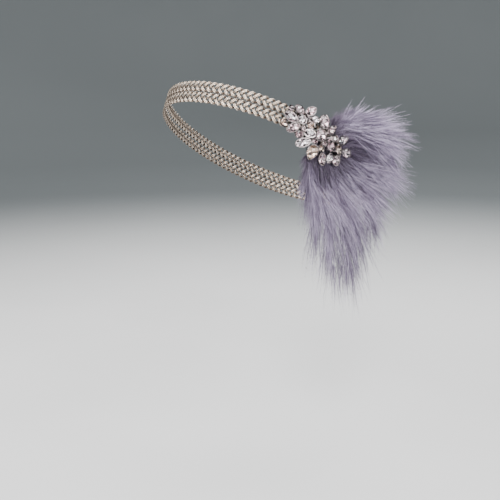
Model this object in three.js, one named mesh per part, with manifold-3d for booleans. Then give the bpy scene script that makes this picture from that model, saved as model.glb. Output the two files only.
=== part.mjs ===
// Flapper headband: a loop of plaited metallic trim, a crystal brooch at the left temple and a spray of
// three marabou plumes tucked under the brooch.
// Millimetres, +Z up as worn. The front is -Y and the brooch is on the +X side.
// The origin is the centre of the loop, on the axis of the ellipsoid that the band is shaped to.
import * as THREE from 'three';
import Module from 'manifold-3d';

const wasm = await Module();
wasm.setup();

// Fit: semi-axes of the ellipsoid that the band is shaped to, and the slope of the band's plane.
const FIT = new THREE.Vector3(73, 88.6, 100);
const BAND_TILT = THREE.MathUtils.degToRad(29.6);

// Band: two plaited rows side by side, ribbed once for each lobe of the plait.
// Across is measured from the groove, proud from the ellipsoid. Scallop and rib are added on each lobe and
// taken off between two lobes.
const RIB_COUNT = 117;
const STEPS_PER_STATION = 40;
const BAND_SECTION = [
  { across: -7.3, proud: -0.9, scallop: 0, rib: 0 },
  { across: -7.4, proud: 0.15, scallop: -0.35, rib: 0 },
  { across: -3.8, proud: 0.9, scallop: 0, rib: -0.2 },
  { across: 0, proud: 0.15, scallop: 0, rib: 0.1 },
  { across: 3.8, proud: 0.9, scallop: 0, rib: -0.2 },
  { across: 7.4, proud: 0.15, scallop: 0.35, rib: 0 },
  { across: 7.3, proud: -0.9, scallop: 0, rib: 0 },
];

// Brooch: where it sits round the loop, how far it is turned down from the band, and its build-up.
const BROOCH_ANGLE = THREE.MathUtils.degToRad(-25);
const BROOCH_TURN = THREE.MathUtils.degToRad(-9);
const BROOCH_MIDDLE = { along: 0.5, across: -4 };
const BROOCH_REACH = { along: 34, across: 17 };
const BASE_FRONT = 1.5;
const BASE_REAR = 3.9;
const BASE_RAMP = { from: -20, to: -4 };
const BAR_WIDTH = 1.4;
const BAR_HEIGHT = 0.8;
const BAR_LIFT = 0.3;
const GIRDLE_RISE = 3.2;
const DOME_RISE = 2;
const STONE_LEAN = THREE.MathUtils.degToRad(6);
const GOLDEN_TURN = THREE.MathUtils.degToRad(137.5);

// Stones: proportions of the cut, the clearance in the cup, and the cup's wall and claws.
const TABLE_SHARE = 0.5;
const STAR_SHARE = 0.76;
const STAR_RISE = 0.62;
const CROWN_RISE = 0.25;
const PAVILION_DROP = 0.36;
const GIRDLE_HEIGHT = 0.3;
const SEAT_GAP = 0.26;
const SEAT_STEP = 0.05;
const CUP_WALL = 0.4;
const CUP_FOOT_SHARE = 0.8;
const CLAW_GRIP = 0.25;
const CLAW_THICKNESS = 0.35;
const CLAW_ANGLES = {
  marquise: [0, 180],
  pear: [0, 120, 240],
  oval: [60, 120, 240, 300],
  round: [0, 90, 180, 270],
};
const LARGE_STONE = 3.9;
const LARGE_SIDES = 12;
const SMALL_SIDES = 8;
const PEAR_TAPER = 0.8;
const PEAR_WIDEST = 0.81;
const MARQUISE_POINT = 0.005;
const FRAME_STEP = 0.5;

// One row for each stone. Along runs back down the brooch, across runs up, turn is measured from along.
const STONES = [
  { cut: 'marquise', along: -24.2, across: -4.5, length: 9.8, width: 5, turn: -5 },
  { cut: 'marquise', along: -21.2, across: 2.9, length: 7.4, width: 4.5, turn: -10 },
  { cut: 'marquise', along: -16.8, across: -2.1, length: 7, width: 4.2, turn: -30 },
  { cut: 'marquise', along: -14.2, across: 5.6, length: 8.2, width: 4.6, turn: 60 },
  { cut: 'marquise', along: -9.5, across: 2.4, length: 5.8, width: 3.8, turn: 0 },
  { cut: 'pear', along: -3, across: 4.3, length: 9.2, width: 6.4, turn: -45 },
  { cut: 'marquise', along: -19.2, across: -9.7, length: 9.6, width: 4.8, turn: 55 },
  { cut: 'round', along: -10.4, across: -2.5, length: 4.4, width: 4.4, turn: 0 },
  { cut: 'round', along: -13.7, across: -11.3, length: 4.8, width: 4.8, turn: 0 },
  { cut: 'marquise', along: -8.4, across: -7.3, length: 7.8, width: 4.4, turn: 20 },
  { cut: 'oval', along: -1.6, across: -3.9, length: 7.4, width: 6.4, turn: -35 },
  { cut: 'marquise', along: 3.5, across: 2.8, length: 9, width: 4.6, turn: 65 },
  { cut: 'marquise', along: -9.1, across: -14.4, length: 10.6, width: 4.9, turn: 45 },
  { cut: 'marquise', along: 4.4, across: -2.9, length: 5, width: 3, turn: 45 },
  { cut: 'round', along: 8.4, across: 0.2, length: 3.8, width: 3.8, turn: 0 },
  { cut: 'round', along: -3.3, across: -9.5, length: 3.6, width: 3.6, turn: 0 },
  { cut: 'pear', along: -0.6, across: -16.2, length: 10, width: 7.6, turn: -75 },
  { cut: 'pear', along: 9.2, across: -6, length: 7.6, width: 5.6, turn: 0 },
  { cut: 'marquise', along: 14.5, across: 3, length: 9, width: 5.1, turn: 55 },
  { cut: 'marquise', along: 7.9, across: -15.5, length: 8.4, width: 4.7, turn: -40 },
  { cut: 'marquise', along: 12, across: -12, length: 6.4, width: 4.4, turn: -70 },
  { cut: 'marquise', along: 17.3, across: -10.4, length: 7, width: 4.8, turn: -30 },
  { cut: 'marquise', along: 15, across: -4.2, length: 7.4, width: 4.2, turn: -45 },
  { cut: 'oval', along: 21.6, across: -2, length: 7.8, width: 5.4, turn: 25 },
  { cut: 'marquise', along: -26.5, across: -10.6, length: 6.4, width: 3.4, turn: -20 },
  { cut: 'round', along: -26.8, across: 0.5, length: 3.5, width: 3.5, turn: 0 },
  { cut: 'marquise', along: 3.2, across: -10.6, length: 5, width: 2.9, turn: -30 },
  { cut: 'round', along: -13.7, across: -6.7, length: 2.8, width: 2.8, turn: 0 },
  { cut: 'round', along: -13.5, across: 0.5, length: 2.4, width: 2.4, turn: 0 },
  { cut: 'round', along: 3.4, across: -7, length: 2.7, width: 2.7, turn: 0 },
];

// Plumes: each is a quill head under the brooch with locks fanned out from it.
// Back and down are measured in the plane that touches the ellipsoid at the brooch, heading turns from back
// to down, curl is how far a lock turns along its reach, and lift is how far it stands off at its fullest.
const QUILL_LEVEL = 2.15;
const QUILL_LENGTH = 7;
const QUILL_TIP_SHARE = 0.25;
const QUILL_WIDTH = 2.6;
const QUILL_THICKNESS = 1.5;
const LIFT_START = 8;
const LIFT_END = 42;
const LOCK_THICKNESS = 0.85;
const LOCK_STATIONS = [
  { at: 0, width: 0.2, lift: 0 },
  { at: 0.1, width: 0.3, lift: 0 },
  { at: 0.25, width: 0.65, lift: 0.6 },
  { at: 0.46, width: 1, lift: 1 },
  { at: 0.7, width: 0.9, lift: 1.05 },
  { at: 0.88, width: 0.5, lift: 0.9 },
  { at: 1, width: 0, lift: 0.75 },
];
const PLUMES = [
  {
    name: 'feather_upper',
    colour: 0x8f8799,
    quill: { back: 13.5, down: 1, heading: 5 },
    locks: [
      { heading: -64, curl: 34, reach: 25, lift: 5, width: 8 },
      { heading: -52, curl: 34, reach: 33, lift: 12, width: 10 },
      { heading: -41, curl: 40, reach: 42, lift: 6, width: 12 },
      { heading: -31, curl: 46, reach: 49, lift: 15, width: 13 },
      { heading: -21, curl: 50, reach: 57, lift: 7, width: 13 },
      { heading: -11, curl: 54, reach: 59, lift: 16, width: 13 },
      { heading: 0, curl: 56, reach: 64, lift: 8, width: 12 },
      { heading: 12, curl: 52, reach: 66, lift: 12, width: 9 },
    ],
  },
  {
    name: 'feather_middle',
    colour: 0x8a8294,
    quill: { back: 13, down: 13.5, heading: 45 },
    locks: [
      { heading: 17, curl: 34, reach: 62, lift: 6, width: 9 },
      { heading: 28, curl: 30, reach: 62, lift: 13, width: 11 },
      { heading: 38, curl: 28, reach: 63, lift: 7, width: 11 },
      { heading: 48, curl: 24, reach: 64, lift: 13, width: 11 },
      { heading: 57, curl: 20, reach: 72, lift: 8, width: 11 },
      { heading: 65, curl: 16, reach: 80, lift: 12, width: 10 },
    ],
  },
  {
    name: 'feather_lower',
    colour: 0x948c9d,
    quill: { back: -2, down: 14.5, heading: 90 },
    locks: [
      { heading: 66, curl: 18, reach: 90, lift: 7, width: 11 },
      { heading: 73, curl: 12, reach: 98, lift: 14, width: 12 },
      { heading: 80, curl: 7, reach: 104, lift: 7, width: 12 },
      { heading: 87, curl: 3, reach: 106, lift: 14, width: 12 },
      { heading: 94, curl: -4, reach: 98, lift: 6, width: 12 },
      { heading: 102, curl: -9, reach: 84, lift: 12, width: 11 },
      { heading: 111, curl: -14, reach: 66, lift: 6, width: 10 },
      { heading: 122, curl: -19, reach: 50, lift: 8, width: 9 },
      { heading: 137, curl: -24, reach: 32, lift: 4, width: 7 },
    ],
  },
];

const COLOURS = {
  band: 0xbeb2a5,
  setting: 0xb9b4b2,
  marquise: 0xe6dfe2,
  pear: 0xe9e1df,
  oval: 0xe0dade,
  round: 0xe4dde0,
};

// Solid helpers: rings of points are skinned into a closed mesh that faces out.
function facingOut(points, triangles) {
  let volume = 0;
  const normal = new THREE.Vector3();
  for (const [a, b, c] of triangles) {
    volume += points[a].dot(normal.crossVectors(points[b], points[c]));
  }
  const turned = volume > 0 ? triangles : triangles.map(([a, b, c]) => [a, c, b]);
  const geometry = new THREE.BufferGeometry();
  geometry.setFromPoints(points);
  geometry.setIndex(turned.flat());
  return geometry;
}

// Skins rings of equal count, with a point or a flat cap at each end, or end to end where it is a loop.
function loft(rings, isLoop = false) {
  const points = rings.flat();
  const starts = [];
  let start = 0;
  for (const ring of rings) {
    starts.push(start);
    start += ring.length;
  }
  const triangles = [];
  const pairs = isLoop ? rings.length : rings.length - 1;
  for (let i = 0; i < pairs; i += 1) {
    const j = (i + 1) % rings.length;
    const sides = Math.max(rings[i].length, rings[j].length);
    for (let k = 0; k < sides; k += 1) {
      const next = (k + 1) % sides;
      const low = rings[i].length > 1 ? [starts[i] + k, starts[i] + next] : [starts[i]];
      const high = rings[j].length > 1 ? [starts[j] + k, starts[j] + next] : [starts[j]];
      if (low.length > 1) {
        triangles.push([low[0], low[1], high[0]]);
      }
      if (high.length > 1) {
        triangles.push([low[low.length - 1], high[1], high[0]]);
      }
    }
  }
  if (!isLoop) {
    const last = rings.length - 1;
    for (let k = 1; k < rings[0].length - 1; k += 1) {
      triangles.push([starts[0], starts[0] + k + 1, starts[0] + k]);
    }
    for (let k = 1; k < rings[last].length - 1; k += 1) {
      triangles.push([starts[last], starts[last] + k, starts[last] + k + 1]);
    }
  }
  return facingOut(points, triangles);
}

function toSolid(geometry) {
  const vertProperties = new Float32Array(geometry.attributes.position.array);
  const triVerts = new Uint32Array(geometry.index.array);
  return new wasm.Manifold(new wasm.Mesh({ numProp: 3, vertProperties, triVerts }));
}

function toGeometry(solid) {
  const { numProp, vertProperties, triVerts } = solid.getMesh();
  const geometry = new THREE.BufferGeometry();
  const positions = new Float32Array((vertProperties.length / numProp) * 3);
  for (let i = 0; i < positions.length / 3; i += 1) {
    for (let k = 0; k < 3; k += 1) {
      positions[i * 3 + k] = vertProperties[i * numProp + k];
    }
  }
  geometry.setAttribute('position', new THREE.BufferAttribute(positions, 3));
  geometry.setIndex(Array.from(triVerts));
  return geometry;
}

function joined(geometries) {
  return geometries.map(toSolid).reduce((whole, piece) => whole.add(piece));
}

function namedMesh(name, geometry, look) {
  const mesh = new THREE.Mesh(geometry, new THREE.MeshStandardMaterial(look));
  mesh.name = name;
  return mesh;
}

// Fit surface: the loop's centreline, and the outward normal anywhere on the ellipsoid.
const LOOP_DEPTH = 1 / Math.hypot(Math.cos(BAND_TILT) / FIT.y, Math.sin(BAND_TILT) / FIT.z);
const LOOP_REAR = new THREE.Vector3(0, LOOP_DEPTH * Math.cos(BAND_TILT), -LOOP_DEPTH * Math.sin(BAND_TILT));

function loopPoint(angle) {
  return new THREE.Vector3(FIT.x * Math.cos(angle), 0, 0).addScaledVector(LOOP_REAR, Math.sin(angle));
}

function loopDirection(angle) {
  const step = new THREE.Vector3(-FIT.x * Math.sin(angle), 0, 0).addScaledVector(LOOP_REAR, Math.cos(angle));
  return step.normalize();
}

function fitNormal(point) {
  return point.clone().divide(FIT).divide(FIT).normalize();
}

// Angles that step evenly along the loop's length.
function evenAngles(count) {
  const fine = STEPS_PER_STATION * count;
  const lengths = [0];
  for (let i = 1; i <= fine; i += 1) {
    const step = loopPoint((2 * Math.PI * i) / fine).distanceTo(loopPoint((2 * Math.PI * (i - 1)) / fine));
    lengths.push(lengths[i - 1] + step);
  }
  const angles = [];
  let i = 0;
  for (let k = 0; k < count; k += 1) {
    while (lengths[i] < (lengths[fine] * k) / count) {
      i += 1;
    }
    angles.push((2 * Math.PI * i) / fine);
  }
  return angles;
}

function buildBand() {
  const rings = evenAngles(2 * RIB_COUNT).map((angle, station) => {
    const centre = loopPoint(angle);
    const normal = fitNormal(centre);
    const upward = new THREE.Vector3().crossVectors(normal, loopDirection(angle));
    const side = station % 2 === 0 ? 1 : -1;
    return BAND_SECTION.map(({ across, proud, scallop, rib }) => centre.clone()
      .addScaledVector(upward, across + side * scallop)
      .addScaledVector(normal, proud + side * rib));
  });
  return loft(rings, true);
}

// Brooch frame: along runs back down the brooch, across runs up, and height is taken off the ellipsoid.
const BROOCH_POINT = loopPoint(BROOCH_ANGLE);
const BROOCH_NORMAL = fitNormal(BROOCH_POINT);
const BROOCH_ALONG = loopDirection(BROOCH_ANGLE).applyAxisAngle(BROOCH_NORMAL, BROOCH_TURN);
const BROOCH_ACROSS = new THREE.Vector3().crossVectors(BROOCH_NORMAL, BROOCH_ALONG);

function broochPoint(along, across, height) {
  const flat = BROOCH_POINT.clone()
    .addScaledVector(BROOCH_ALONG, along)
    .addScaledVector(BROOCH_ACROSS, across);
  const onFit = flat.divideScalar(flat.clone().divide(FIT).length());
  return onFit.addScaledVector(fitNormal(onFit), height);
}

function baseHeight(along) {
  const ramp = THREE.MathUtils.smoothstep(along, BASE_RAMP.from, BASE_RAMP.to);
  return THREE.MathUtils.lerp(BASE_FRONT, BASE_REAR, ramp);
}

function girdleHeight(along, across) {
  const outAlong = (along - BROOCH_MIDDLE.along) / BROOCH_REACH.along;
  const outAcross = (across - BROOCH_MIDDLE.across) / BROOCH_REACH.across;
  return baseHeight(along) + GIRDLE_RISE + DOME_RISE * Math.max(0, 1 - outAlong ** 2 - outAcross ** 2);
}

// A stone's own frame: on the dome of the brooch, turned in its plane and leaned a little to one side.
function stoneFrame(stone, index) {
  const step = FRAME_STEP;
  const onDome = (along, across) => broochPoint(along, across, girdleHeight(along, across));
  const alongStep = onDome(stone.along + step, stone.across).sub(onDome(stone.along - step, stone.across));
  const acrossStep = onDome(stone.along, stone.across + step).sub(onDome(stone.along, stone.across - step));
  const up = new THREE.Vector3().crossVectors(alongStep, acrossStep).normalize();
  const leanAxis = alongStep.clone().normalize().applyAxisAngle(up, index * GOLDEN_TURN);
  const x = alongStep.normalize().applyAxisAngle(up, THREE.MathUtils.degToRad(stone.turn));
  x.applyAxisAngle(leanAxis, STONE_LEAN);
  up.applyAxisAngle(leanAxis, STONE_LEAN);
  const y = new THREE.Vector3().crossVectors(up, x);
  const frame = new THREE.Matrix4().makeBasis(x, y, up);
  return frame.setPosition(onDome(stone.along, stone.across));
}

// Outlines of the cuts, for an angle round the girdle, in half lengths and half widths.
const OUTLINES = {
  round: (angle) => [Math.cos(angle), Math.sin(angle)],
  oval: (angle) => [Math.cos(angle), Math.sin(angle)],
  marquise: (angle, length, width) => {
    const radius = (length ** 2 + width ** 2) / (4 * width);
    const bulge = Math.sqrt(radius ** 2 - ((length / 2) * Math.cos(angle)) ** 2) - radius + width / 2;
    const side = Math.abs(Math.sin(angle)) < MARQUISE_POINT ? 0 : Math.sign(Math.sin(angle));
    return [Math.cos(angle), (side * bulge) / (width / 2)];
  },
  pear: (angle) => {
    const taper = Math.abs(Math.sin(angle / 2)) ** PEAR_TAPER;
    return [Math.cos(angle), (Math.sin(angle) * taper) / PEAR_WIDEST];
  },
};

function girdleSides(stone) {
  return stone.width > LARGE_STONE ? LARGE_SIDES : SMALL_SIDES;
}

function outlinePoint(stone, angle, share, grow, z) {
  const [x, y] = OUTLINES[stone.cut](angle, stone.length, stone.width);
  return new THREE.Vector3(x * share * (stone.length / 2 + grow), y * share * (stone.width / 2 + grow), z);
}

// A brilliant cut: table, star, kite and girdle facets above, and a point below.
function stoneGeometry(stone) {
  const sides = girdleSides(stone);
  const half = sides / 2;
  const angleOf = (k) => (2 * Math.PI * k) / sides;
  const crown = CROWN_RISE * stone.width;
  const edge = GIRDLE_HEIGHT / 2;
  const points = [];
  const addRing = (count, firstStep, stride, share, z) => {
    for (let k = 0; k < count; k += 1) {
      points.push(outlinePoint(stone, angleOf(firstStep + stride * k), share, 0, z));
    }
  };
  addRing(half, 0, 2, TABLE_SHARE, edge + crown);
  addRing(half, 1, 2, STAR_SHARE, edge + STAR_RISE * crown);
  addRing(sides, 0, 1, 1, edge);
  addRing(sides, 0, 1, 1, -edge);
  points.push(new THREE.Vector3(0, 0, -edge - PAVILION_DROP * stone.width));
  const table = (k) => k % half;
  const star = (k) => half + ((k + half) % half);
  const upper = (k) => sides + (k % sides);
  const lower = (k) => 2 * sides + (k % sides);
  const point = 3 * sides;
  const triangles = [];
  for (let k = 1; k < half - 1; k += 1) {
    triangles.push([table(0), table(k), table(k + 1)]);
  }
  for (let k = 0; k < half; k += 1) {
    triangles.push([table(k), star(k), table(k + 1)]);
    triangles.push([table(k), star(k - 1), upper(2 * k)]);
    triangles.push([table(k), upper(2 * k), star(k)]);
    triangles.push([star(k), upper(2 * k), upper(2 * k + 1)]);
    triangles.push([star(k), upper(2 * k + 1), upper(2 * k + 2)]);
  }
  for (let k = 0; k < sides; k += 1) {
    triangles.push([upper(k), lower(k), lower(k + 1)]);
    triangles.push([upper(k), lower(k + 1), upper(k + 1)]);
    triangles.push([lower(k), point, lower(k + 1)]);
  }
  return facingOut(points, triangles);
}

// A cup stands on the base, rises round the stone's girdle and is hollowed to a point below it. At each claw
// its rim is drawn up and bent in over the crown.
function cupGeometry(stone, floor) {
  const sides = girdleSides(stone);
  const edge = GIRDLE_HEIGHT / 2;
  const ring = (share, grow, z) => {
    const points = [];
    for (let k = 0; k < sides; k += 1) {
      points.push(outlinePoint(stone, (2 * Math.PI * k) / sides, share, grow, z));
    }
    return points;
  };
  const rim = (grow, clawGrow, clawLift) => {
    const points = ring(1, grow, edge);
    for (const degrees of CLAW_ANGLES[stone.cut]) {
      const angle = THREE.MathUtils.degToRad(degrees);
      const crownSpan = (1 - TABLE_SHARE) * outlinePoint(stone, angle, 1, 0, 0).length();
      const slope = (CROWN_RISE * stone.width) / crownSpan;
      const height = edge + slope * CLAW_GRIP + SEAT_GAP + clawLift;
      points[Math.round((sides * degrees) / 360)] = outlinePoint(stone, angle, 1, clawGrow, height);
    }
    return points;
  };
  return loft([
    ring(CUP_FOOT_SHARE, 0, floor),
    rim(SEAT_GAP + CUP_WALL, SEAT_GAP - CLAW_GRIP, CLAW_THICKNESS),
    rim(SEAT_GAP, -CLAW_GRIP, 0),
    ring(1, SEAT_GAP, -edge - SEAT_STEP),
    [new THREE.Vector3(0, 0, -edge - PAVILION_DROP * stone.width - SEAT_GAP)],
  ]);
}

// A flat bar of the openwork base, between the feet of two cups.
function barGeometry(one, other) {
  const low = broochPoint(one.along, one.across, baseHeight(one.along) + BAR_LIFT);
  const high = broochPoint(other.along, other.across, baseHeight(other.along) + BAR_LIFT);
  const up = fitNormal(low.clone().add(high));
  const sideways = new THREE.Vector3().crossVectors(up, high.clone().sub(low)).setLength(BAR_WIDTH / 2);
  const section = (centre) => [
    centre.clone().add(sideways),
    centre.clone().sub(sideways),
    centre.clone().sub(sideways).addScaledVector(up, BAR_HEIGHT),
    centre.clone().add(sideways).addScaledVector(up, BAR_HEIGHT),
  ];
  return loft([section(low), section(high)]);
}

// Each stone's foot is tied to the nearest foot that lies closer to the middle of the brooch.
function barPairs() {
  const gap = (one, other) => Math.hypot(one.along - other.along, one.across - other.across);
  const inward = (stone) => STONES.filter((other) => gap(other, BROOCH_MIDDLE) < gap(stone, BROOCH_MIDDLE));
  return STONES.filter((stone) => inward(stone).length > 0).map((stone) => {
    const byGap = inward(stone).sort((one, other) => gap(stone, one) - gap(stone, other));
    return [stone, byGap[0]];
  });
}

function buildSetting(frames) {
  const metal = [];
  STONES.forEach((stone, index) => {
    const floor = baseHeight(stone.along) - girdleHeight(stone.along, stone.across);
    metal.push(cupGeometry(stone, floor).applyMatrix4(frames[index]));
  });
  for (const [one, other] of barPairs()) {
    metal.push(barGeometry(one, other));
  }
  return toGeometry(joined(metal));
}

// Spray frame: the plane that touches the ellipsoid at the brooch.
const SPRAY_BACK = new THREE.Vector3(-BROOCH_NORMAL.y, BROOCH_NORMAL.x, 0).normalize();
const SPRAY_DOWN = new THREE.Vector3().crossVectors(SPRAY_BACK, BROOCH_NORMAL);

function sprayPoint(back, down, out) {
  const point = BROOCH_POINT.clone().addScaledVector(SPRAY_BACK, back).addScaledVector(SPRAY_DOWN, down);
  return point.addScaledVector(BROOCH_NORMAL, out);
}

// How far the ellipsoid has dropped away below a point of that plane.
function fitDrop(back, down) {
  const start = sprayPoint(back, down, 0).divide(FIT);
  const step = BROOCH_NORMAL.clone().divide(FIT);
  const a = step.lengthSq();
  const b = start.dot(step);
  const c = start.lengthSq() - 1;
  return (b - Math.sqrt(Math.max(0, b ** 2 - a * c))) / a;
}

// Where a lock's middle runs: an arc in the spray's plane that follows the fit surface under the brooch and
// stands off beyond it.
function lockCentre(quill, lock, station) {
  const from = THREE.MathUtils.degToRad(lock.heading);
  const curl = THREE.MathUtils.degToRad(lock.curl);
  const heading = from + curl * station.at;
  const back = quill.back + (lock.reach * (Math.sin(heading) - Math.sin(from))) / curl;
  const down = quill.down + (lock.reach * (Math.cos(from) - Math.cos(heading))) / curl;
  const free = THREE.MathUtils.smoothstep(lock.reach * station.at, LIFT_START, LIFT_END);
  const out = THREE.MathUtils.lerp(QUILL_LEVEL - fitDrop(back, down), lock.lift * station.lift, free);
  return { centre: sprayPoint(back, down, out), heading };
}

function diamond(centre, heading, width, thickness) {
  const sideways = sprayPoint(-Math.sin(heading), Math.cos(heading), 0).sub(BROOCH_POINT);
  return [
    centre.clone().addScaledVector(sideways, width / 2),
    centre.clone().addScaledVector(BROOCH_NORMAL, thickness / 2),
    centre.clone().addScaledVector(sideways, -width / 2),
    centre.clone().addScaledVector(BROOCH_NORMAL, -thickness / 2),
  ];
}

function lockGeometry(quill, lock) {
  const rings = LOCK_STATIONS.map((station) => {
    const { centre, heading } = lockCentre(quill, lock, station);
    const width = lock.width * station.width;
    const thickness = Math.max(QUILL_THICKNESS, width * LOCK_THICKNESS * station.lift);
    return width > 0 ? diamond(centre, heading, Math.max(width, QUILL_WIDTH), thickness) : [centre];
  });
  return loft(rings);
}

// The quill head lies under the brooch, on the band's side of it.
function quillGeometry(quill) {
  const heading = THREE.MathUtils.degToRad(quill.heading);
  const rings = [-1, 0, QUILL_TIP_SHARE].map((share) => {
    const back = quill.back + share * QUILL_LENGTH * Math.cos(heading);
    const down = quill.down + share * QUILL_LENGTH * Math.sin(heading);
    const centre = sprayPoint(back, down, QUILL_LEVEL - fitDrop(back, down));
    return diamond(centre, heading, QUILL_WIDTH, QUILL_THICKNESS);
  });
  return loft(rings);
}

function buildPlume(plume) {
  const locks = plume.locks.map((lock) => lockGeometry(plume.quill, lock));
  return toGeometry(joined([quillGeometry(plume.quill), ...locks]));
}

// Assembly
const headband = new THREE.Group();
headband.add(namedMesh('band', buildBand(), { color: COLOURS.band, roughness: 0.5, metalness: 0.6 }));

const stoneFrames = STONES.map(stoneFrame);
headband.add(namedMesh('brooch_setting', buildSetting(stoneFrames), {
  color: COLOURS.setting,
  roughness: 0.25,
  metalness: 1,
}));

const cutCounts = {};
STONES.forEach((stone, index) => {
  cutCounts[stone.cut] = (cutCounts[stone.cut] ?? 0) + 1;
  const geometry = stoneGeometry(stone).applyMatrix4(stoneFrames[index]);
  const look = { color: COLOURS[stone.cut], roughness: 0.05, metalness: 0.2 };
  headband.add(namedMesh(`${stone.cut}_stone_${cutCounts[stone.cut]}`, geometry, look));
});

for (const plume of PLUMES) {
  const look = { color: plume.colour, roughness: 0.9, metalness: 0 };
  headband.add(namedMesh(plume.name, buildPlume(plume), look));
}

export default headband;
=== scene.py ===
# Looks of the flapper headband: two rows of plaited metallic cord, a crystal cluster brooch and three plumes
# of marabou down. Metres, +Z up as worn. The front is -Y and the brooch is on the +X side.
import math
from collections import namedtuple

import bmesh
import bpy
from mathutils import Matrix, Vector


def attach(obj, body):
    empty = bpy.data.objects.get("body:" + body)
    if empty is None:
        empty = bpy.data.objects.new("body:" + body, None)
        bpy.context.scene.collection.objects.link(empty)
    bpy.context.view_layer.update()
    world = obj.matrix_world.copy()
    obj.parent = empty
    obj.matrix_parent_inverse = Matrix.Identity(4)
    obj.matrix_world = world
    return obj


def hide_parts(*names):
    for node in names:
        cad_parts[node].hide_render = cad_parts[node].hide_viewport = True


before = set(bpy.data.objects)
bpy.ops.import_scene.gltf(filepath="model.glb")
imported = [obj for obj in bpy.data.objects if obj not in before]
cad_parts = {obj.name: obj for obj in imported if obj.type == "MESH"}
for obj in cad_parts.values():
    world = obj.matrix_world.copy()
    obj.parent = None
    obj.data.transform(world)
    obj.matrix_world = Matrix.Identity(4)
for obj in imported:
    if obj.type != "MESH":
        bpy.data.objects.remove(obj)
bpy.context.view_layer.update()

MM = 0.001

# Fit: semi-axes of the ellipsoid that the band is shaped to, and the slope of the band's plane.
FIT = Vector((73, 88.6, 100)) * MM
BAND_TILT = math.radians(29.6)
BROOCH_ANGLE = math.radians(-25)

# Band: two rows, each a flat plait of three strands, and each strand a few cords side by side. A cord's
# thread winds round it so many times in each period of the plait.
LOOP_POINTS = 720
ROW_OFFSET = 3.75 * MM
CORD_SIDES = 6
CORD_SEED = 4
THREAD_TWISTS = 26
PLAIT = {
    "Periods": 39,
    "Steps per Period": 16,
    "Strands": 3,
    "Cords per Strand": 3,
    "Plait Reach": 2.88 * MM,
    "Plait Depth": 0.48 * MM,
    "Cord Radius": 0.31 * MM,
    "Cord Spacing": 0.55 * MM,
}

# Plumes: the quills and locks of the spray, in millimetres and degrees. Back and down are measured in the
# plane that touches the ellipsoid at the brooch, and heading turns from back to down. Curl is how far a lock
# turns along its reach, lift is how far it stands off at its fullest, and cleft is how much painted shade
# its root has.
Quill = namedtuple("Quill", "back down heading spread")
Lock = namedtuple("Lock", "heading curl reach lift width cleft", defaults=(0,))
QUILL_LEVEL = 2.15
# A lock comes free of the quill's level between these lengths. Its lift then follows shares of its reach.
LIFT_START = 8
LIFT_END = 42
LIFT_STATIONS = ((0, 0), (0.1, 0), (0.25, 0.6), (0.46, 1), (0.7, 1.05), (0.88, 0.9), (1.1, 0.7))
# Roots lie side by side on the quill and draw together between these shares of the reach.
ROOTS_SIDE_BY_SIDE = 0.05
ROOTS_TOGETHER = 0.75
PLUMES = {
    "upper": (
        Quill(13.5, 1, -26, 5),
        (
            Lock(-62, 34, 22, 5, 8),
            Lock(-50, 36, 29, 12, 10),
            Lock(-38, 42, 38, 6, 12),
            Lock(-29, 46, 49, 15, 13),
            Lock(-20, 50, 57, 7, 13),
            Lock(-13, 56, 59, 16, 13),
            Lock(-8, 66, 63, 9, 12),
            Lock(-4, 76, 65, 14, 10, 0.2),
            Lock(3, 70, 58, 8, 12, 0.85),
        ),
    ),
    "middle": (
        Quill(13, 13.5, 41, 7),
        (
            Lock(0, 44, 54, -5, 14, 0.9),
            Lock(9, 40, 62, -3, 14, 0.9),
            Lock(13, 38, 66, 9, 10, 0.6),
            Lock(24, 32, 63, 14, 11),
            Lock(38, 28, 63, 7, 11),
            Lock(48, 24, 64, 13, 11),
            Lock(57, 20, 72, 8, 11),
            Lock(65, 16, 80, 12, 10),
        ),
    ),
    "lower": (
        Quill(-2, 14.5, 95, 7),
        (
            Lock(60, 18, 90, 7, 11),
            Lock(67, 12, 98, 14, 12),
            Lock(74, 7, 108, 7, 12),
            Lock(81, 3, 112, 14, 12),
            Lock(88, -4, 108, 6, 12),
            Lock(97, -9, 96, 12, 11),
            Lock(107, -15, 84, 6, 10),
            Lock(120, -22, 62, 8, 9),
            Lock(137, -24, 32, 4, 7),
        ),
    ),
}

# Shafts: one along each lock, short of its end by about a barb's length and with less curl.
GUIDE_POINTS = 18
GUIDE_START = -0.12
SHAFT_INSET = 1.05
SHAFT_CURL = 0.8
SHAFT_RADIUS = 0.22 * MM
SHAFT_SIDES = 4
SHAFT_TONE = 0.5
LONGEST_BARB = 0.45
# Low locks get the most painted shade, and the painted shade of a cleft fades between these shares of the
# shaft.
DEEPEST_SHADE = 0.2
DEEPEST_LIFT = -12
LIGHTEST_LIFT = 14
CLEFT_FADES = 0.4
CLEFT_ENDS = 0.9

# Down: the length of barbs in millimetres, how far they lean in radians, the plume's open side, its painted
# light and shade, and factors on the barbs, the hairs and the length of hair that a layer has.
Growth = namedtuple("Growth", "length least_lean most_lean open_side shade barbs hairs hair_length")
GROWTH = {
    "upper": Growth(19, 0.3, 0.95, -1, 1.25, 1, 1, 1.3),
    "middle": Growth(22, 0.22, 0.75, 0, 0.9, 1.2, 0.75, 0.9),
    "lower": Growth(30, 0.1, 0.48, 1, 0.68, 1.6, 0.5, 0.65),
}
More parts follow.
